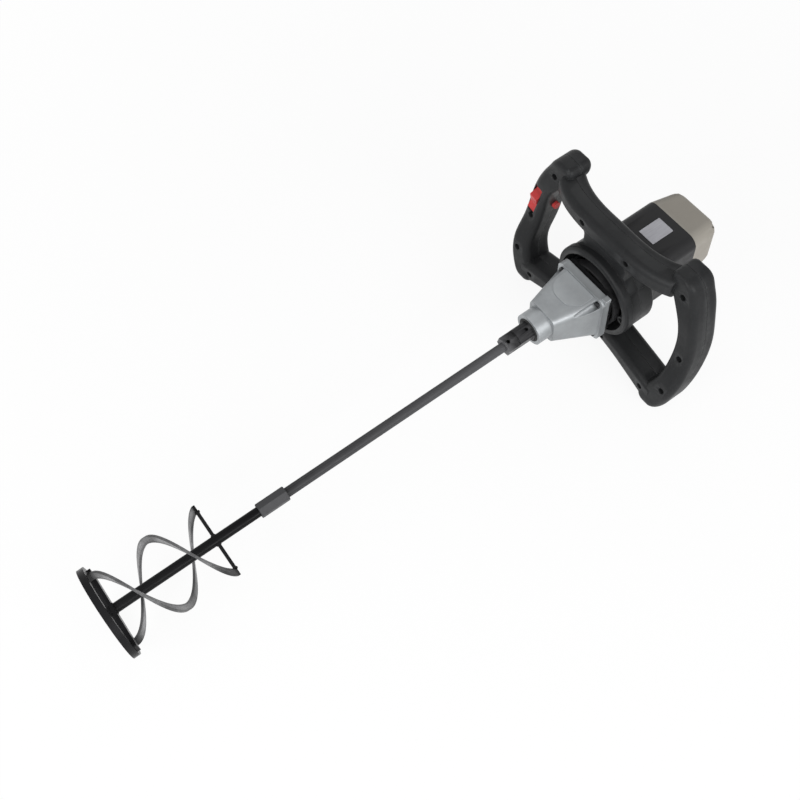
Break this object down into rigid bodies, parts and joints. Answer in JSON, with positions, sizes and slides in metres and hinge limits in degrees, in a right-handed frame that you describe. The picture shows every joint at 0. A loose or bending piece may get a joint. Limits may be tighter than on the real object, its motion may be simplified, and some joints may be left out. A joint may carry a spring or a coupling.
{
  "type": "mixing drill",
  "caption": "Two-handed paddle mixer: butterfly handle frame with trigger, motor, reduction gearbox and a long screw-on mixing paddle with a helical blade and a bottom ring.",
  "frame": {"origin": "centre of the front face of the gearbox neck, on the spindle axis", "axes": "+X from the paddle to the motor along the spindle, +Z to the top beam of the handle frame, +Y to the trigger handle"},
  "size_m": [0.8764, 0.3166, 0.2282],
  "materials": {
    "black_plastic": "fine grained moulding",
    "grey_plastic": "smooth moulding",
    "red_plastic": "smooth moulding",
    "inner_plastic": "moulded",
    "cast_aluminium": "die cast, blasted",
    "plate_aluminium": "satin",
    "bare_steel": "turned and ground",
    "black_steel": "black coated",
    "screw_steel": "black oxide",
    "bronze": "plain",
    "carbon": "pressed carbon",
    "rubber": "moulded"
  },
  "bodies": {
    "frame_and_motor": {"gearbox_housing": "cast_aluminium", "bearing_plate": "black_steel", "idler_front_bush": "bronze", "idler_rear_bush": "bronze", "front_shell": "black_plastic", "rear_shell": "black_plastic", "cord_inlet": "rubber", "trigger_pin": "bare_steel", "switch_module": "inner_plastic", "motor_housing": "black_plastic", "motor_cap": "grey_plastic", "stator": "bare_steel", "field_coil_left": "bronze", "field_coil_right": "bronze", "brush_holder_left": "bronze", "brush_holder_right": "bronze", "carbon_brush_left": "carbon", "carbon_brush_right": "carbon", "spindle_front_bearing": "bare_steel", "spindle_rear_bearing": "bare_steel", "armature_front_bearing": "bare_steel", "armature_rear_bearing": "bare_steel", "nose_seal": "rubber", "rating_plate": "plate_aluminium", "frame_screws": "screw_steel", "gearbox_screws": "screw_steel", "cap_screws": "screw_steel"},
    "paddle": {"output_spindle": "bare_steel", "output_gear": "bare_steel", "paddle_nut": "black_steel", "upper_rod": "black_steel", "lower_rod": "black_steel", "hex_coupling": "black_steel", "paddle_arm_a": "black_steel", "paddle_arm_b": "black_steel", "paddle_blade_a": "black_steel", "paddle_blade_b": "black_steel", "bottom_ring": "black_steel", "ring_cross_bar": "black_steel"},
    "idler": {"idler_shaft": "bare_steel", "idler_gear": "bare_steel", "idler_pinion": "bare_steel"},
    "armature": {"armature_shaft": "bare_steel", "motor_pinion": "bare_steel", "rotor_core": "bare_steel", "commutator": "bronze", "cooling_fan": "inner_plastic"},
    "trigger": {"trigger": "red_plastic"},
    "lock_button": {"lock_button": "red_plastic"}
  },
  "joints": [
    {"name": "spindle_spin", "type": "hinge", "parent": "frame_and_motor", "child": "paddle", "pos_m": [0, 0, 0], "axis": [1, 0, 0], "continuous": true},
    {"name": "idler_spin", "type": "hinge", "parent": "frame_and_motor", "child": "idler", "pos_m": [0.06, -0.01808, -0.00585], "axis": [1, 0, 0], "continuous": true},
    {"name": "armature_spin", "type": "hinge", "parent": "frame_and_motor", "child": "armature", "pos_m": [0.15, 0, -0.0117], "axis": [1, 0, 0], "continuous": true},
    {"name": "trigger_press", "type": "hinge", "parent": "frame_and_motor", "child": "trigger", "pos_m": [0.132, 0.14487, 0.00226], "axis": [0, 0.9781, 0.2079], "range_deg": [0, 8], "stiffness_Nm_per_rad": 0.8, "springref_deg": -8.59},
    {"name": "lock_button_press", "type": "slide", "parent": "frame_and_motor", "child": "lock_button", "axis": [0, 1, 0], "range_m": [0, 0.0025], "stiffness_N_per_m": 400, "springref_m": -0.002}
  ],
  "couplings": [
    {"joint": "idler_spin", "follows": "spindle_spin", "ratio": -3.2222},
    {"joint": "armature_spin", "follows": "spindle_spin", "ratio": 14.27}
  ]
}
